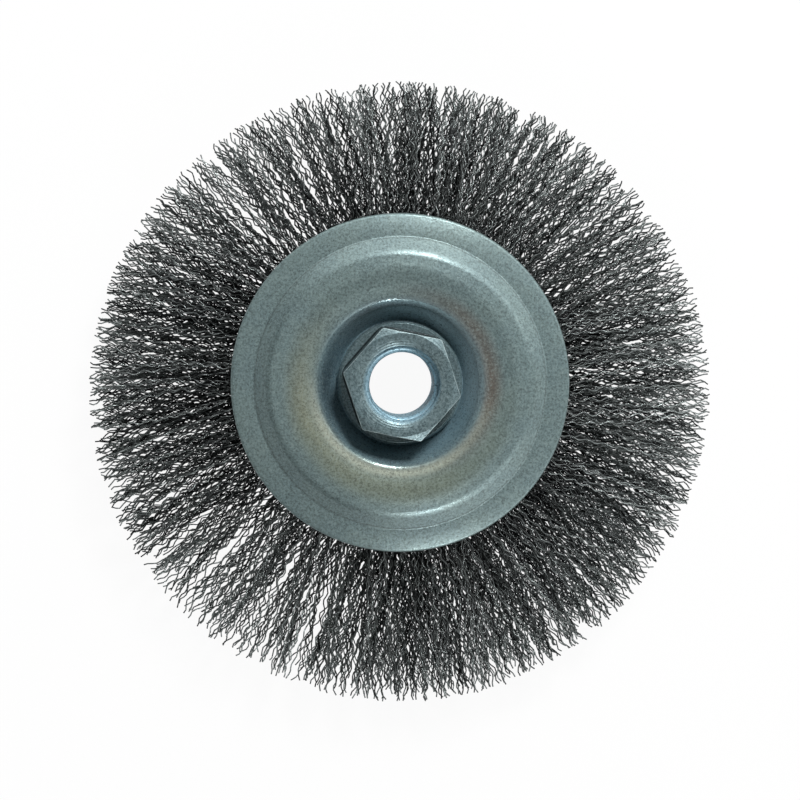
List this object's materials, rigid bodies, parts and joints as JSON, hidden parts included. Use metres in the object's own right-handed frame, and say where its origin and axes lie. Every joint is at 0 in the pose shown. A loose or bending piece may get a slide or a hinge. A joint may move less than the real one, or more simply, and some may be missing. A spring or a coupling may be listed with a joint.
{
  "type": "conical wire brush",
  "caption": "Conical brush of crimped steel wire for an angle grinder, held between two zinc-plated pressed plates by a threaded hexagon nut, standing on its wire tips.",
  "frame": {"origin": "on the brush's axis, in the plane of the lowest wire tips, on which it stands", "axes": "+Z along the axis, up towards the spindle side; the hexagon has a corner 11.5 degrees clockwise of +X, seen from above"},
  "size_m": [0.1147, 0.1147, 0.0303],
  "materials": {
    "zinc_plate": "bright zinc plating on pressed and turned steel, satin",
    "ring_steel": "bare drawn steel, satin",
    "wire_steel": "oiled hardened steel wire, satin"
  },
  "bodies": {
    "root": {"arbor_nut": "zinc_plate", "rear_dish": "zinc_plate", "front_plate": "zinc_plate", "retaining_ring": "ring_steel", "wire_hairpins": "wire_steel"}
  },
  "joints": []
}
